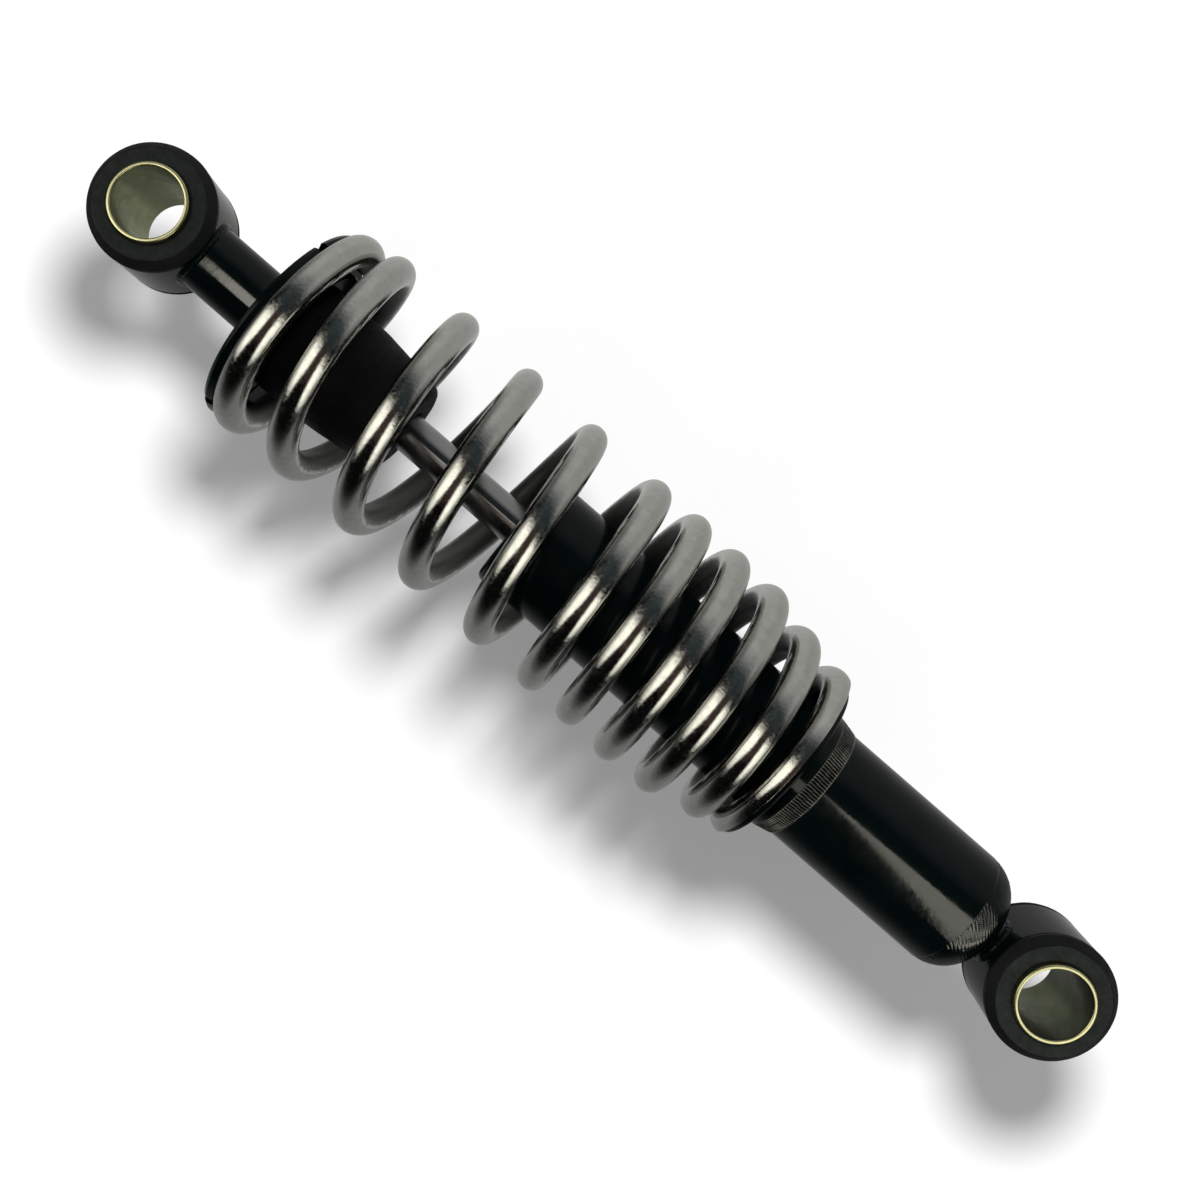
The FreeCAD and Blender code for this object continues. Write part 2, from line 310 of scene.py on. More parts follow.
def black_paint(name, gloss):
    """Enamel with faint dust and a slight orange-peel skin; gloss is how much it mirrors."""
    m = new_material(name, Metallic=0.0, IOR=1.45, Specular_IOR_Level=gloss)
    dust = grain(m, 9, 6, rough=0.65)
    clean, dusty = (0.0008, 0.0022, 0.0023), (0.002, 0.0044, 0.0044)
    drive(m, "Base Color", mixed(m, dust, clean, dusty, 0.35, 0.75))
    drive(m, "Roughness", scaled(m, grain(m, 4, 4), 0.07, 0.14))
    relief(m, (grain(m, 1.3, 2), 0.012), (grain(m, 0.25, 2), 0.002))
    return m


def crest_glint_enamel(start, foot_r, end, top_r, depth):
    """Enamel with a painted highlight, of pale metal colour, on the crests of teeth cut in a cone.

    The cone has radius foot_r at start and top_r at end; depth is how far down the painted highlight goes."""
    m = new_material("crest_glint_enamel", Metallic=0.7, IOR=1.45, Specular_IOR_Level=0.2, Roughness=0.28)
    links = m.node_tree.links
    place = add_node(m, "ShaderNodeTexCoord").outputs["Object"]
    parts = add_node(m, "ShaderNodeSeparateXYZ")
    section = add_node(m, "ShaderNodeMapping", Scale=(0, 1, 1))
    off_axis = add_node(m, "ShaderNodeVectorMath")
    off_axis.operation = "LENGTH"
    links.new(place, parts.inputs["Vector"])
    links.new(place, section.inputs["Vector"])
    links.new(section.outputs["Vector"], off_axis.inputs[0])
    widening = scaled(m, parts.outputs["X"], 0, (top_r - foot_r) * MM, start * MM, end * MM)
    above = maths(m, "SUBTRACT", off_axis.outputs["Value"], widening)
    height = scaled(m, above, 0, 1, (foot_r - depth) * MM, foot_r * MM)
    glint_mask = maths(m, "MULTIPLY", height, scaled(m, grain(m, 1.2, 3), 0.35, 1))
    paint, painted_glint = (0.002, 0.0022, 0.0022), (0.2, 0.202, 0.18)
    drive(m, "Base Color", mixed(m, glint_mask, paint, painted_glint, 0, 1))
    relief(m, (grain(m, 0.25, 2), 0.004))
    return m


def spring_plate():
    """Bright plating, rougher on the inner side of the turns and darkened there with painted shade."""
    m = new_material("spring_plate", Metallic=1.0)
    inner = add_node(m, "ShaderNodeAttribute")
    inner.attribute_name = INNER_SHADE_ATTRIBUTE
    dull = maths(m, "ADD", inner.outputs["Fac"], grain(m, 0.9, 4))
    drive(m, "Roughness", scaled(m, dull, 0.06, 0.55, 0.3, 1.5))
    blotches_and_shade = maths(m, "SUBTRACT", grain(m, 2.2, 5, rough=0.6), inner.outputs["Fac"])
    # dark is painted shade on the wire's inner side, and also the low end of the random blotches
    dark, bright, brightest = (0.16, 0.165, 0.155), (0.46, 0.46, 0.435), (0.55, 0.55, 0.52)
    tone = color_ramp(m.node_tree, blotches_and_shade, ((0, dark), (0.3, bright), (0.7, brightest)))
    drive(m, "Base Color", tone)
    relief(m, (grain(m, 0.8, 3), 0.024), (grain(m, 0.22, 2), 0.006))
    return m


def rod_chrome():
    """Ground round the rod, which blurs reflections along it."""
    m = new_material("rod_chrome", Metallic=1.0, Anisotropic=0.9, Anisotropic_Rotation=0.25)
    haze = grain(m, 5, 4)
    drive(m, "Base Color", mixed(m, haze, (0.29, 0.29, 0.295), (0.35, 0.35, 0.35)))
    drive(m, "Roughness", scaled(m, grain(m, 1.5, 4, (1, 0.2, 0.2)), 0.16, 0.19))
    relief(m, (grain(m, 0.15, 2, (1, 0.05, 0.05)), 0.0008))
    tangent = add_node(m, "ShaderNodeTangent")
    tangent.direction_type = "RADIAL"
    tangent.axis = "X"
    drive(m, "Tangent", tangent.outputs["Tangent"])
    return m


def rubber(name, dark, light):
    """Matt moulded rubber with a patchy bloom."""
    m = new_material(name, IOR=1.45, Specular_IOR_Level=0.2)
    bloom = grain(m, 2.2, 8, rough=0.72)
    drive(m, "Base Color", mixed(m, bloom, dark, light))
    drive(m, "Roughness", scaled(m, grain(m, 1.5, 4), 0.52, 0.7))
    relief(m, (grain(m, 0.6, 4), 0.02), (grain(m, 0.15, 2), 0.008))
    return m


def yellow_zinc(name, dark, light, low, high):
    """Drawn steel with yellow plating; low and high are its least and greatest roughness."""
    m = new_material(name, Metallic=1.0)
    tone = grain(m, 6, 3, (1, 1, 0.6))
    drive(m, "Base Color", mixed(m, tone, dark, light))
    drive(m, "Roughness", scaled(m, grain(m, 2.5, 3), low, high))
    relief(m, (grain(m, 0.3, 2, (0.15, 0.15, 1)), 0.0015))
    return m


def machined(name, dark, light, low, high, size, depth, metallic=1.0):
    """Turned or cast inner piece; size and depth are those of its surface grain in millimetres."""
    m = new_material(name, Metallic=metallic)
    drive(m, "Base Color", mixed(m, grain(m, 2.5, 5), dark, light))
    drive(m, "Roughness", scaled(m, grain(m, 1.0, 4), low, high))
    relief(m, (grain(m, size, 3, (1, 0.15, 0.15)), depth))
    return m


def floor_paper():
    m = new_material("paper", Metallic=0.0, Roughness=0.9, Specular_IOR_Level=0.0)
    drive(m, "Base Color", mixed(m, grain(m, 60, 2), (0.93, 0.93, 0.93), (0.95, 0.95, 0.95)))
    return m


PAINT = black_paint("black_enamel", 0.2)
# The lower barrel's enamel mirrors less than the rest: painted shade on that barrel.
SHADED_BARREL_PAINT = black_paint("shaded_barrel_enamel", 0.1)
SHADED_PAINT = black_paint("shaded_enamel", 0.015)
PLATE = spring_plate()
CHROME = rod_chrome()
RUBBER = rubber("moulded_rubber", (0.008, 0.0095, 0.0092), (0.019, 0.0215, 0.0205))
DUSTY_RUBBER = rubber("dusty_rubber", (0.013, 0.0155, 0.0145), (0.031, 0.035, 0.032))
STOP_RUBBER = rubber("stop_rubber", (0.0016, 0.0018, 0.0018), (0.003, 0.0034, 0.0034))
# A darker copy of the moulded rubber: painted shade on the bushes' bevels and rims.
SHADED_BEVEL_RUBBER = rubber("shaded_bevel_rubber", (0.003, 0.0036, 0.0036), (0.0055, 0.0065, 0.0065))
ZINC = yellow_zinc("yellow_zinc", (0.46, 0.45, 0.25), (0.56, 0.54, 0.33), 0.24, 0.34)
# Darker copies of the yellow zinc for the sleeves' bores: painted shade inside them, deeper in the lower
# one.
UPPER_BORE_SHADE = yellow_zinc("upper_bore_shaded_zinc", (0.21, 0.24, 0.12), (0.30, 0.32, 0.17), 0.3, 0.42)
LOWER_BORE_SHADE = yellow_zinc("lower_bore_shaded_zinc", (0.068, 0.082, 0.044), (0.115, 0.13, 0.074), 0.3, 0.42)
INNER = {
    "plain_steel": machined("plain_steel", (0.36, 0.36, 0.37), (0.46, 0.46, 0.47), 0.25, 0.4, 0.3, 0.006),
    "cast_aluminium": machined("cast_aluminium", (0.5, 0.5, 0.51), (0.62, 0.62, 0.63),
                               0.35, 0.55, 0.8, 0.02),
    "sintered_iron": machined("sintered_iron", (0.14, 0.14, 0.15), (0.24, 0.24, 0.25),
                              0.5, 0.65, 0.4, 0.03),
    "bronze": machined("bronze", (0.42, 0.27, 0.12), (0.55, 0.38, 0.18), 0.3, 0.45, 0.3, 0.006),
    "ptfe": machined("ptfe", (0.10, 0.06, 0.045), (0.17, 0.10, 0.07), 0.4, 0.55, 0.3, 0.004, 0.0),
    "black_rubber": RUBBER,
    "rod_chrome": CHROME,
}


# ---- eyes ----------------------------------------------------------------------------
def eye_pieces(side, centre, twist, body, sleeve_body, shaded_bore, face_rubber, paint):
    """Barrel, rubber bush and steel sleeve of one eye."""
    place = eye_place(centre, twist)
    barrel_half = eye_half("lower_eye")
    rubber_half = eye_half("lower_bush_rubber")
    sleeve_half = eye_half("lower_bush_sleeve")
    sleeve_r = eye_radius("lower_bush_sleeve")
    bore_r = frame["record"]["mounts"][0]["dims"]["r_mm"]
    flange_r = eye_radius("lower_bush_rubber")
    core_r = BARREL_R - 2.2
    face_r = flange_r - 1.8
    rubber_bore = sleeve_r + 0.05
    bevel_shade_r = face_r - 0.1
    bore_shade_r = bore_r + 0.06

    barrel = soften([(-barrel_half, core_r, 0.3), (-barrel_half, BARREL_R, 0.6),
                     (barrel_half, BARREL_R, 0.6), (barrel_half, core_r, 0.3)])
    obj = lathe(side + "_eye_barrel", divide(barrel, 3), place, 192)
    finish_piece(obj, body, side + "_eye", paint)

    step = barrel_half + 0.02
    upper_half = [(rubber_half - 0.35, rubber_bore), (rubber_half, rubber_bore + 0.5, 0.25),
                  (rubber_half, face_r, 0.9), (step + 0.9, flange_r, 0.5), (step, flange_r, 0.25),
                  (step, core_r - 0.01)]
    lower_half = [(-point[0], *point[1:]) for point in upper_half]
    bush = soften(lower_half + upper_half[::-1])
    obj = lathe(side + "_rubber_bush", divide(bush, 2), place, 192, rubber_shape)
    finish_piece(obj, body, side + "_bush_rubber", face_rubber)
    # The bevel and rim of the bush get painted shade.
    second_material(obj, SHADED_BEVEL_RUBBER, lambda x, r: r > bevel_shade_r, place)

    sleeve = soften([(-sleeve_half, bore_r, 0.35), (-sleeve_half, sleeve_r, 0.45),
                     (sleeve_half, sleeve_r, 0.45), (sleeve_half, bore_r, 0.35)])
    obj = lathe(side + "_steel_sleeve", divide(sleeve, 2), place, 160)
    finish_piece(obj, sleeve_body, side + "_bush_sleeve", ZINC)
    # The bore gets its darker zinc, painted shade inside the sleeve.
    second_material(obj, shaded_bore, lambda x, r: r < bore_shade_r, place)


def rubber_shape(x, angle, r):
    """Moulded rubber: the free edge is slightly uneven."""
    flange_start, free_r, depth = 9.6, 12.5, 0.05
    lift = noise.noise(Vector((x * 0.3, 3 * math.cos(angle), 3 * math.sin(angle)))) * depth
    free = abs(x) > flange_start and r > free_r
    return x, r + (lift - depth if free else 0)


def saddle_x(centre_x, side, depth, y):
    """Where a shaft along X meets a cylinder about the eye's axis, y being off that axis."""
    return centre_x + side * math.sqrt(max(depth * depth - y * y, 0))


def weld_bead(name, centre_x, side, shaft_r, twist, size, ripples, seed):
    """Ring of overlapping beads in the corner between a shaft and an eye barrel.

    side is 1 when the shaft leaves the eye towards +X, and seed moves the bead's uneven places."""
    per_ripple = 10
    steps = ripples * per_ripple
    columns = 14
    ripple, uneven, flatness = 0.08, 0.22, 0.8
    path, sections = [], []
    for i in range(steps):
        angle = 2 * math.pi * i / steps
        out = Vector((0, math.cos(angle), math.sin(angle)))
        off = shaft_r * math.cos(angle - twist)
        corner = Vector((saddle_x(centre_x, side, BARREL_R, off), 0, 0)) + out * shaft_r
        phase = (i % per_ripple) / per_ripple
        swell = 1 + ripple * (math.sqrt(math.sin(math.pi * phase)) - 0.5)
        wander = noise.noise(Vector((seed, 2.2 * math.cos(angle), 2.2 * math.sin(angle))))
        bead = size * (swell + uneven * wander)
        middle = corner - Vector((side * 0.15 * size, 0, 0)) + out * 0.05 * size
        ring = []
        for k in range(columns):
            a = 2 * math.pi * k / columns
            outward = out * (bead * flatness * math.sin(a))
            ring.append(middle + Vector((side * bead * math.cos(a), 0, 0)) + outward)
        path.append(middle)
        sections.append(ring)
    obj = sweep(name, path, sections, True, 60)
    if side < 0:
        obj.data.flip_normals()
    return obj


def welds():
    bead = weld_bead("lower_weld", 0, 1, TUBE_R - CAP_ROUND, 0, 1.0, 22, 3.1)
    finish_piece(bead, "damper_body", "lower_eye_weld", PAINT)
    bead = weld_bead("upper_weld", UPPER_EYE.x / MM, -1, STEM_R, EYE_TWIST, 0.95, 34, 8.4)
    finish_piece(bead, "rod_assembly", "upper_eye_weld", PAINT)


# ---- damper body ---------------------------------------------------------------------
def damper_tube():
    """Outer tube, open below and rolled in round the rod above."""
    start, end = along("reservoir_tube")
    inner = TUBE_R - TUBE_WALL
    lip = 1.2
    throat = radius("dust_wiper") + 4.8
    outline = soften([(start, inner), (start, TUBE_R), (end, TUBE_R, 1.6), (end, throat, 0.35),
                      (end - lip, throat, 0.2), (end - lip, inner, 0.4)])
    flats, flat_depth, rolled = 14, 0.05, 2.5

    def crimp(x, angle, r):
        """The rolled lip carries the faint flats of the rolling tool."""
        near = max(0, 1 - (end - x) / rolled)
        return x, r + flat_depth * near * math.cos(flats * angle)
    obj = lathe("damper_tube", divide(outline, 6), steps=224, shape=crimp)
    finish_piece(obj, "damper_body", "reservoir_tube", PAINT)


def end_cap():
    """Rounded bottom with helical tool marks, and a neck that runs into the lower eye."""
    start, end = along("lower_end_cap")
    neck = TUBE_R - CAP_ROUND
    arc = []
    arc_steps = 44
    for i in range(arc_steps + 1):
        a = math.pi / 2 * i / arc_steps
        arc.append((end - CAP_ROUND * math.sin(a), neck + CAP_ROUND * math.cos(a)))
    floor_r = 11.6
    pocket = end - 6.2
    neck_end = BARREL_R * 0.8
    outline = [(pocket, 0), (pocket, floor_r), (end, TUBE_R - TUBE_WALL)] + arc
    outline += [(start + 1, neck), (neck_end, neck), (neck_end, 0)]
    grooves, lean = 88, 50
    groove_depth, cut, drop = 0.09, 0.15, 0.12

    def marks(x, angle, r):
        """Leaning grooves with drops of paint on the rounding; the neck's end follows the barrel."""
        slant = (end - x) / CAP_ROUND
        beyond_neck = r - neck - 0.4
        if beyond_neck > 0 and slant > 0:
            fade = min(1, slant * 20) * min(1, beyond_neck / 3)
            turn = grooves * angle + lean * math.atan2(end - x, r - neck)
            spot = Vector((x, r * math.cos(angle), r * math.sin(angle))) * 1.1
            drops = max(0, noise.noise(spot) - 0.25)
            r += fade * (groove_depth * math.sin(turn) - cut + drop * drops)
        if x < BARREL_R + 2:
            free_x = x if x > neck_end + 0.1 else 0
            x = max(free_x, saddle_x(0, 1, WELD_ROOT, r * math.cos(angle)))
        return x, r
    obj = lathe("end_cap", [Vector(p) for p in outline], steps=512, shape=marks, flat=False)
    finish_piece(obj, "damper_body", "lower_end_cap", PAINT)


def knurled_collar():
    """Band under the lower seat with two rows of pressed teeth that drift out of step."""
    start, end = along("seat_retainer_ring")
    top = radius("seat_retainer_ring")
    inner = TUBE_R - 0.3
    taper_x = start + 4.8
    small = top - 1.1
    split = start + 2.5
    first, last, line = start + 0.35, taper_x - 0.1, 0.22
    teeth, tooth, sunk, drift = 132, 0.17, 0.15, 1.9
    outline = soften([(end, inner), (end, top, 0.2), (taper_x, top, 0.5), (start, small, 0.5),
                      (start, inner)])

    def knurl(x, angle, r):
        """Teeth fade in at both ends of the cone and stop at the line between the two rows."""
        if r < TUBE_R:
            return x, r
        shift = 0 if x > split else drift * math.sin(angle + 1)
        wave = math.sin(teeth * angle + shift)
        rise = min(1, max(0, (x - first) / 0.3))
        fall = min(1, max(0, (last - x) / 0.5))
        row = min(1, abs(x - split) / line)
        return x, r + rise * fall * (row * tooth * wave - sunk)
    obj = lathe("knurled_collar", divide(outline, 0.16), steps=1056, shape=knurl, flat=False)
    finish_piece(obj, "damper_body", "seat_retainer_ring", PAINT)
    # The tooth crests get a painted highlight.
    crest_glint_material = crest_glint_enamel(start, small, taper_x, top, 0.2)
    second_material(obj, crest_glint_material, lambda x, r: start + 0.3 < x < taper_x - 0.2)


def lower_seat():
    start, end = along("lower_spring_seat")
    rim = radius("lower_spring_seat")
    inner = TUBE_R - 0.3
    outline = soften([(start, inner), (start, rim, 0.7), (end, rim, 0.35), (end, inner)])
    obj = lathe("lower_seat_plate", divide(outline, 1.5), steps=192)
    finish_piece(obj, "damper_body", "lower_spring_seat", PAINT)


# ---- upper end -----------------------------------------------------------------------
def upper_stem():
    start = along("upper_stem")[0]
    r = STEM_R
    stop = UPPER_EYE.x / MM - 10
    outline = soften([(start, 0), (start, r, 0.4), (stop, r), (stop, 0)], closed=False)
    outline = divide(outline, 2, closed=False)

    def shape(x, angle, pr):
        if x > stop - 0.1:
            x = saddle_x(UPPER_EYE.x / MM, -1, WELD_ROOT, pr * math.cos(angle - EYE_TWIST))
        return x, pr
    obj = lathe("upper_stem_shaft", outline, steps=128, shape=shape)
    finish_piece(obj, "rod_assembly", "upper_stem", PAINT)


def seat_sector(name, node, start_angle, end_angle, steps):
    """Half of the split upper seat between two angles, measured from -Y towards +Z."""
    plane = SEAT_TOP
    rim = radius("upper_seat_half_b")
    hub_r, hub_top = 11.6, along("upper_seat_half_a")[1]
    nose, spigot_r = along("upper_seat_half_a")[0], 19.2
    pocket_r, pocket_floor = STEM_R + 0.3, plane - 0.7
    flange = 2.6
    top = plane + flange
    groove = top - 0.5
    outline = soften([(nose, ROD_HOLE, 0.3), (nose, spigot_r, 0.8), (plane, spigot_r, 0.3),
                      (plane, rim - 0.4, 0.3), (plane + flange * 0.6, rim, 0.4), (top, rim - 0.6, 0.6),
                      (top, 21.5, 0.5), (groove, 20.5, 0.5), (groove, 16.0, 0.5), (top, 15.0, 0.5),
                      (top, hub_r, 1.0), (hub_top, hub_r, 0.5), (hub_top, pocket_r, 0.4),
                      (pocket_floor, pocket_r, 0.2), (pocket_floor, ROD_HOLE, 0.2)])
    path, sections = [], []
    for i in range(steps + 1):
        a = math.radians(start_angle + (end_angle - start_angle) * i / steps)
        out = Vector((0, -math.cos(a), math.sin(a)))
        sections.append([Vector((x, 0, 0)) + out * r for x, r in outline])
        path.append(out)
    obj = sweep(name, path, sections, False, 35)
    obj.modifiers.new("normals", "WEIGHTED_NORMAL").keep_sharp = True
    finish_piece(obj, "spring_carrier", node, PAINT)
    # The faces towards the spring barely mirror anything: painted shade, darker than the rim.
    second_material(obj, SHADED_PAINT, lambda x, r: x < plane + 0.05)


def bump_stop():
    start, end = along("bump_stop")
    end_r = 12.2
    top_r = 14.8
    bore_side = 6.0
    allowance, seam_rise, skin_rise = 0.08, 0.07, 0.06
    outline = soften([(start, ROD_HOLE, 0.6), (start, end_r, 2.6), (start + 11.2, 13.6, 20),
                      (start + 17.7, 14.4, 20), (end, top_r, 0.5), (end, ROD_HOLE, 0.3)])

    def mould(x, angle, r):
        """Faint mould line on both sides and a slightly uneven skin."""
        if r < bore_side:
            return x, r
        seam = math.exp(-((math.sin(angle - 0.6) / 0.02) ** 2))
        skin = noise.noise(Vector((x * 0.25, 2 * math.cos(angle), 2 * math.sin(angle))))
        return x, r - allowance + seam_rise * seam + skin_rise * skin
    obj = lathe("bump_stop_rubber", divide(outline, 1.2), steps=320, shape=mould, flat=False)
    finish_piece(obj, "spring_carrier", "bump_stop", STOP_RUBBER)
    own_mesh(obj)


def piston_rod():
    start, end = along("piston_rod")
    neck_end = along("rebound_shim")[1]
    r = radius("piston_rod")
    neck = 4.0
    outline = soften([(start, 0), (start, neck, 0.5), (neck_end, neck), (neck_end, r, 0.3),
                      (end, r), (end, 0)], closed=False)
    obj = lathe("chromed_rod", divide(outline, 4, closed=False), steps=128)
    finish_piece(obj, "rod_assembly", "piston_rod", CHROME)


def dust_wiper():
    start, end = along("dust_wiper")
    outer = radius("dust_wiper")
    bore = radius("piston_rod") + 0.05
    outline = soften([(start, bore), (start, outer, 0.2), (end - 0.8, outer, 0.3), (end, bore + 0.5, 0.2),
                      (end, bore, 0.1)])
    obj = lathe("rod_wiper", divide(outline, 0.6), steps=128)
    finish_piece(obj, "damper_body", "dust_wiper", RUBBER)


# ---- spring --------------------------------------------------------------------------
WIRE_R = 3.65
COIL_R = 25.1
FIRST_TURN = 0.95
LAST_TURN = 11.55
FIRST_X = 228.9                      # wire's centre at the upper end
# Each row below is a turn of the coil and, there, the drop per turn, the change of the coil's
# radius, or how far the coil lies towards -Y.
PITCH = ((FIRST_TURN, 2.9), (1.49, 2.9), (1.82, 19.65), (5.92, 19.65), (6.12, 12.0), (10.9, 12.0),
         (11.15, 3.2), (LAST_TURN, 3.2))
NARROWING = ((FIRST_TURN, -1.2), (1.3, 0.0), (9.0, 0.0), (9.6, -1.2), (10.25, -3.3), (11.25, -5.2),
             (LAST_TURN, -5.4))
SIDEWAYS = ((FIRST_TURN, 1.0), (2.0, 1.5), (7.0, 1.5), (9.3, 0.6), (LAST_TURN, 0.5))


def between(steps, turn):
    """Straight-line value between the (turn, value) steps."""
    for (t0, v0), (t1, v1) in zip(steps, steps[1:]):
        if turn <= t1:
            return v0 + (v1 - v0) * (turn - t0) / (t1 - t0)
    return steps[-1][1]


def spring_path(per_turn):
    count = round((LAST_TURN - FIRST_TURN) * per_turn)
    step = (LAST_TURN - FIRST_TURN) / count
    turns, points = [], []
    x = FIRST_X
    for i in range(count + 1):
        turn = FIRST_TURN + i * step
        r = COIL_R + between(NARROWING, turn)
        angle = 2 * math.pi * turn
        points.append(Vector((x, -r * math.cos(angle) - between(SIDEWAYS, turn), r * math.sin(angle))))
        turns.append(turn)
        x -= between(PITCH, turn + step / 2) * step
    return turns, points


def closing_weights(points, per_turn):
    """Share of the seat's travel that each point follows, so that open turns close evenly.

    The room between a turn and the next limits how far that turn can close."""
    half = per_turn // 2
    last = len(points) - 1
    usable = 0.95
    room = []
    for i in range(last + 1):
        a, b = max(0, i - half), min(last, i + half)
        drop = (points[a].x - points[b].x) * per_turn / (b - a)
        room.append(max(0.0, usable * (drop - 2 * WIRE_R)) / per_turn)
    low, high = 0.0, max(room)
    halvings = 40
    for _ in range(halvings):
        limit = (low + high) / 2
        total = sum(min(limit, r) for r in room)
        low, high = (limit, high) if total < TRAVEL / MM else (low, limit)
    closing = [min(limit, r) for r in room]
    total = sum(closing)
    weights, used = [], 0.0
    for value in closing:
        weights.append(1 - used / total)
        used += value
    return weights


def spring():
    """Coil between both seats, with flat end turns where it meets them."""
    per_turn = 112
    sides = 36
    turns, points = spring_path(per_turn)
    sections = []
    for i, (turn, centre) in enumerate(zip(turns, points)):
        ahead = points[min(i + 1, len(points) - 1)] - points[max(i - 1, 0)]
        tangent = ahead.normalized()
        angle = 2 * math.pi * turn
        out = Vector((0, -math.cos(angle), math.sin(angle)))
        out = (out - tangent * out.dot(tangent)).normalized()
        across = tangent.cross(out)
        ring = []
        for k in range(sides):
            a = 2 * math.pi * k / sides
            p = centre + (out * math.cos(a) + across * math.sin(a)) * WIRE_R
            p.x = min(max(p.x, SEAT_LOW), SEAT_TOP)
            ring.append(p)
        sections.append(ring)
    obj = sweep("spring_wire", points, sections, False, 50)
    finish_piece(obj, None, "coil_spring", PLATE)
    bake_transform(obj)
    weights = closing_weights(points, per_turn)
    # 1 round the middle of the wire's inner side, 0 on its outer half: where the painted shade goes
    inner_shade_mask = [min(max(-1.4 * math.cos(2 * math.pi * k / sides) - 0.1, 0), 1) for k in range(sides)]
    inner_shade = obj.data.attributes.new(INNER_SHADE_ATTRIBUTE, "FLOAT", "POINT")
    inner_shade.data.foreach_set("value", inner_shade_mask * len(points))


# ---- camera, floor and light ---------------------------------------------------------
TILT = math.radians(6.2)
TO_CAMERA = Vector((0, -math.sin(TILT), math.cos(TILT)))
TOWARD_FOOT = Vector((-1, 0, 0))
TOWARD_SIDE = Vector((0, -math.cos(TILT), -math.sin(TILT)))
LOOK_AT = Vector((0.1462, 0, 0)) - TOWARD_SIDE * 0.00019
CAMERA_DISTANCE = 0.288
CAMERA_POINT = LOOK_AT + TO_CAMERA * CAMERA_DISTANCE
FLOOR_Z = -0.075
STAGE_CENTRE = Vector((0.135, 0, 0))


def add_camera():
    roll = math.radians(41.04)
    data = bpy.data.cameras.new("camera")
    data.sensor_width = 36
    data.lens = 36.96
    data.shift_x = 0.0295
    data.shift_y = -0.0256
    data.clip_start = 0.01
    obj = bpy.data.objects.new("camera", data)
    right = TOWARD_FOOT * math.cos(roll) + TOWARD_SIDE * math.sin(roll)
    up = TOWARD_SIDE * math.cos(roll) - TOWARD_FOOT * math.sin(roll)
    obj.matrix_world = Matrix((right, up, TO_CAMERA)).transposed().to_4x4()
    obj.location = CAMERA_POINT
    bpy.context.scene.collection.objects.link(obj)
    bpy.context.scene.camera = obj


def light_direction(foot_angle, side_angle):
    """Direction from the object, turned from the camera towards the lower eye and the side."""
    a, b = math.radians(foot_angle), math.radians(side_angle)
    flat = TO_CAMERA * math.cos(b) + TOWARD_SIDE * math.sin(b)
    return (flat * math.cos(a) + TOWARD_FOOT * math.sin(a)).normalized()


def link_light(name, data, place):
    obj = bpy.data.objects.new(name, data)
    obj.location = place
    obj.visible_camera = False
    bpy.context.scene.collection.objects.link(obj)
    return obj


def key_light():
    """Disc beside the camera, as high as it is, so the shadow is as wide as the object all along it."""
    place = CAMERA_POINT + TOWARD_SIDE * 0.082 - TOWARD_FOOT * 0.0264
    height = place.z - FLOOR_Z
    data = bpy.data.lights.new("key", "AREA")
    data.shape = "DISK"
    data.size = 0.066
    data.energy = 7.35
    link_light("key", data, place).visible_glossy = False
    data.use_nodes = True
    nodes, links = data.node_tree.nodes, data.node_tree.links
    falloff = nodes.new("ShaderNodeLightFalloff")
    falloff.inputs["Strength"].default_value = 1 / height
    even = nodes.new("ShaderNodeMath")
    even.operation = "MULTIPLY"
    for socket in even.inputs[:2]:
        links.new(falloff.outputs["Constant"], socket)
    links.new(even.outputs["Value"], nodes["Emission"].inputs["Strength"])


def strip_light(name, foot_range, side_range, radiance, pieces, turn=0):
    """Rectangle that only the named pieces reflect, given by the angles that it covers.

    turn swings it round in its own plane, in degrees."""
    distance = 0.9
    direction = light_direction(sum(foot_range) / 2, sum(side_range) / 2)
    width = 2 * distance * math.tan(math.radians(foot_range[1] - foot_range[0]) / 2)
    height = 2 * distance * math.tan(math.radians(side_range[1] - side_range[0]) / 2)
    data = bpy.data.lights.new(name, "AREA")
    data.shape = "RECTANGLE"
    data.size = width
    data.size_y = height
    data.energy = radiance * math.pi * width * height
    data.color = (1.0, 0.97, 0.84)
    obj = link_light(name, data, STAGE_CENTRE + direction * distance)
    flat_foot = (TOWARD_FOOT - direction * TOWARD_FOOT.dot(direction)).normalized()
    level = Matrix((flat_foot, direction.cross(flat_foot), direction)).transposed()
    obj.rotation_euler = (level @ Matrix.Rotation(math.radians(turn), 3, "Z")).to_euler()
    obj.visible_diffuse = False
    receivers = bpy.data.collections.new(name)
    for piece in pieces:
        receivers.objects.link(bpy.data.objects[piece])
    obj.light_linking.receiver_collection = receivers


def add_lights():
    key_light()
    strip_light("stem_strip", (-27.4, -8), (-32, -2), 13.5, ["upper_stem_shaft"])
    strip_light("tube_strip", (26, 44), (-47, 1), 8, ["damper_tube", "end_cap"], 13.5)
    strip_light("collar_strip", (14, 32), (-26, -8), 3.5, ["knurled_collar"])
    for name, side in (("cap_glint_low", -54), ("cap_glint", -14), ("cap_glint_high", 26)):
        strip_light(name, (26, 80), (side - 4, side + 4), 6, ["end_cap"])
    strip_light("rod_line", (-22, 22), (-4, 1), 0.7, ["chromed_rod"])
    strip_light("upper_rim_light", (-46, -14), (-35, 10), 0.9, ["upper_steel_sleeve"])
    strip_light("lower_rim_light", (18, 50), (-35, 10), 1.5, ["lower_steel_sleeve"])


def set_inputs(world, node, inputs):
    """Numbers and vectors set sockets, outputs of other nodes are linked."""
    for socket, value in zip(node.inputs, inputs):
        if isinstance(value, bpy.types.NodeSocket):
            world.node_tree.links.new(value, socket)
        else:
            socket.default_value = value


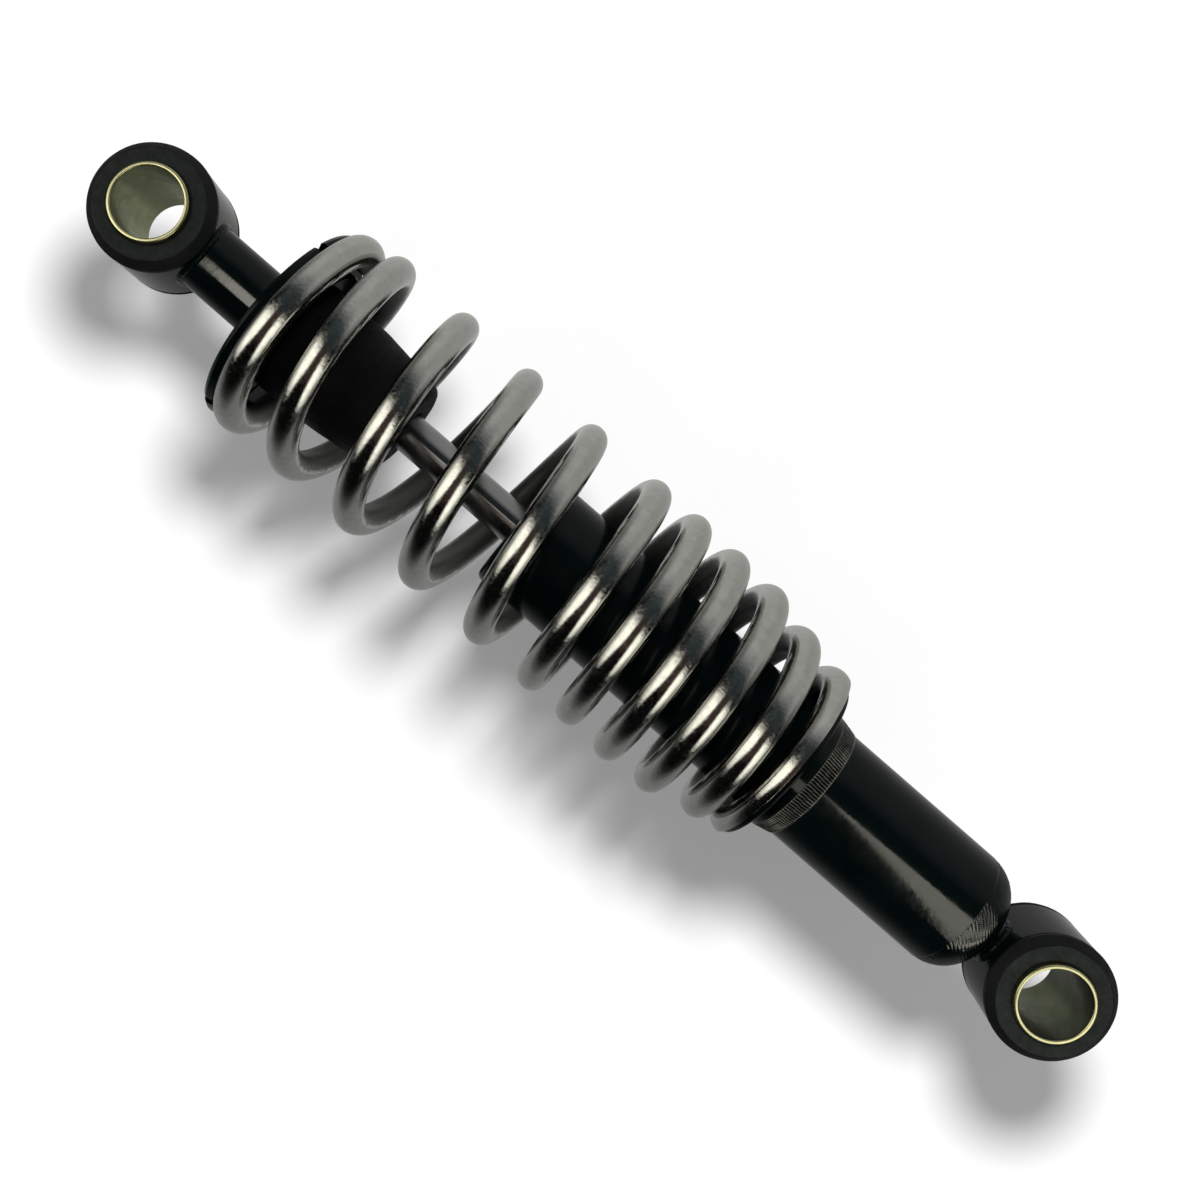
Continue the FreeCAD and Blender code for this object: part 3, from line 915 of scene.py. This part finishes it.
def world_maths(world, kind, operation, *inputs):
    """Number from a maths or vector maths node."""
    node = world.node_tree.nodes.new(kind)
    node.operation = operation
    set_inputs(world, node, inputs)
    return node.outputs["Value"]


def world_colors(world, operation, *colors):
    """Sum or product of colours."""
    result = colors[0]
    for color in colors[1:]:
        node = world.node_tree.nodes.new("ShaderNodeVectorMath")
        node.operation = operation
        set_inputs(world, node, (result, color))
        result = node.outputs["Vector"]
    return result


def world_ramp(world, value, stops):
    """Colour by angle; the stops' angles are in degrees, from -180 to 180."""
    share = world_maths(world, "ShaderNodeMath", "MULTIPLY_ADD", value, 0.5 / math.pi, 0.5)
    return color_ramp(world.node_tree, share, [((degrees + 180) / 360, color) for degrees, color in stops])


def world_angle(world, value, stops):
    """Angle that depends on another one; the stops are pairs of degrees, the second up to 90."""
    shares = world_ramp(world, value, [(degrees, grey(result / 90)) for degrees, result in stops])
    return world_maths(world, "ShaderNodeMath", "MULTIPLY", shares, math.pi / 2)


def grey(value):
    return (value, value, value)


def pale_room(world, across, lengthwise):
    """Pale wall and pale table with the dark between them; both fade towards the ends."""
    squared = world_maths(world, "ShaderNodeMath", "MULTIPLY", lengthwise, lengthwise)
    # The lower edge of the pale wall rises towards both ends.
    raised = world_maths(world, "ShaderNodeMath", "MULTIPLY_ADD", squared, -0.13, across)
    wall = (0.53, 0.53, 0.515)
    room = world_ramp(world, raised, (
        (-180, grey(0.34)), (-122, grey(0.28)), (-106, grey(0.12)), (-96, grey(0.03)), (-84, grey(0.004)),
        (-34, grey(0.004)), (-26, (0.075, 0.048, 0.04)), (-2, (0.075, 0.05, 0.04)),
        (8, (0.034, 0.044, 0.047)), (28, (0.046, 0.06, 0.064)), (41, grey(0.33)), (54, wall), (180, wall)))
    fade = world_ramp(world, lengthwise, (
        (-84, grey(0.12)), (-66, grey(0.3)), (-40, grey(1)), (-12, grey(1)), (8, grey(0.86)),
        (52, grey(0.86)), (70, grey(0.25)), (84, grey(0.08))))
    return world_colors(world, "MULTIPLY", room, fade)


def soft_windows(world, across, lengthwise):
    """Two warm windows either side of a gap; the gap widens and shifts towards the low side."""
    gap = world_angle(world, across, (
        (-98, 68), (-86, 65), (-74, 54), (-62, 40), (-44, 36), (-20, 26), (0, 23)))
    middle = world_angle(world, across, ((-62, 4), (-44, 6), (-20, 12)))
    shifted = world_maths(world, "ShaderNodeMath", "SUBTRACT", lengthwise, middle)
    off_centre = world_maths(world, "ShaderNodeMath", "ABSOLUTE", shifted)
    past_gap = world_maths(world, "ShaderNodeMath", "SUBTRACT", off_centre, gap)
    inside = world_ramp(world, past_gap, ((-6, grey(0)), (6, grey(1))))
    glow = world_ramp(world, across, (
        (-108, grey(0)), (-96, grey(0.42)), (-74, grey(0.5)), (-60, grey(0.62)), (-46, grey(1)),
        (-9, grey(1)), (5, grey(0))))
    warm = world_ramp(world, lengthwise, (
        (-86, (0.3, 0.29, 0.26)), (-72, (0.8, 0.78, 0.7)), (-56, (1.95, 1.92, 1.7)),
        (0, (2.05, 2.02, 1.79)), (10, (1.95, 1.92, 1.7)), (56, (2.1, 2.07, 1.83)),
        (72, (1.6, 1.58, 1.4)), (86, (0.9, 0.88, 0.78))))
    return world_colors(world, "MULTIPLY", inside, glow, warm)


def add_world():
    """What the metal reflects: a pale wall, a pale table and two soft windows, all else dark.

    The camera sees it pale all round, and matte surfaces see it as even light."""
    world = bpy.data.worlds.new("studio")
    world.use_nodes = True
    bpy.context.scene.world = world
    nodes = world.node_tree.nodes
    direction = nodes.new("ShaderNodeTexCoord").outputs["Generated"]
    side, back, foot = [world_maths(world, "ShaderNodeVectorMath", "DOT_PRODUCT", direction, axis)
                        for axis in (TOWARD_SIDE, TO_CAMERA, TOWARD_FOOT)]
    across = world_maths(world, "ShaderNodeMath", "ARCTAN2", side, back)
    lengthwise = world_maths(world, "ShaderNodeMath", "ARCSINE", foot)
    reflected = world_colors(world, "ADD", pale_room(world, across, lengthwise),
                             soft_windows(world, across, lengthwise))
    ray = nodes.new("ShaderNodeLightPath").outputs
    not_diffuse = world_maths(world, "ShaderNodeMath", "SUBTRACT", 1.0, ray["Is Diffuse Ray"])
    light = world_colors(world, "ADD", world_colors(world, "MULTIPLY", reflected, not_diffuse),
                         world_colors(world, "MULTIPLY", ray["Is Diffuse Ray"], grey(0.37)),
                         ray["Is Camera Ray"])
    world.node_tree.links.new(light, nodes["Background"].inputs["Color"])


def add_floor():
    half = 1.5
    corners = [Vector((x, y, 0)) for x, y in ((-half, -half), (half, -half), (half, half), (-half, half))]
    obj = make_object("floor", [c / MM for c in corners], [(0, 1, 2, 3)])
    obj.location = STAGE_CENTRE + Vector((0, 0, FLOOR_Z))
    obj.data.materials.append(floor_paper())
    obj.visible_glossy = False


# ---- everything together -------------------------------------------------------------
def dress_inner_nodes():
    """Pieces that keep their CAD shape get the material of their slot."""
    for part in frame["record"]["subparts"]:
        node, slot = part["node"], part["material_slot"]
        obj = frame["nodes"].get(node)
        if obj is None or slot not in INNER:
            continue
        obj.data.materials.clear()
        obj.data.materials.append(INNER[slot])


add_camera()
add_world()
add_floor()
dress_inner_nodes()
eye_pieces("lower", LOWER_EYE, 0, "damper_body", "lower_sleeve", LOWER_BORE_SHADE, DUSTY_RUBBER,
           SHADED_BARREL_PAINT)
eye_pieces("upper", UPPER_EYE, EYE_TWIST, "rod_assembly", "upper_sleeve", UPPER_BORE_SHADE, RUBBER, PAINT)
welds()
damper_tube()
end_cap()
knurled_collar()
lower_seat()
upper_stem()
seat_sector("upper_seat_far", "upper_seat_half_a", 155, 397, 140)
seat_sector("upper_seat_near", "upper_seat_half_b", 43, 149, 70)
bump_stop()
piston_rod()
dust_wiper()
spring()
add_lights()

bpy.context.scene.view_settings.view_transform = "Standard"
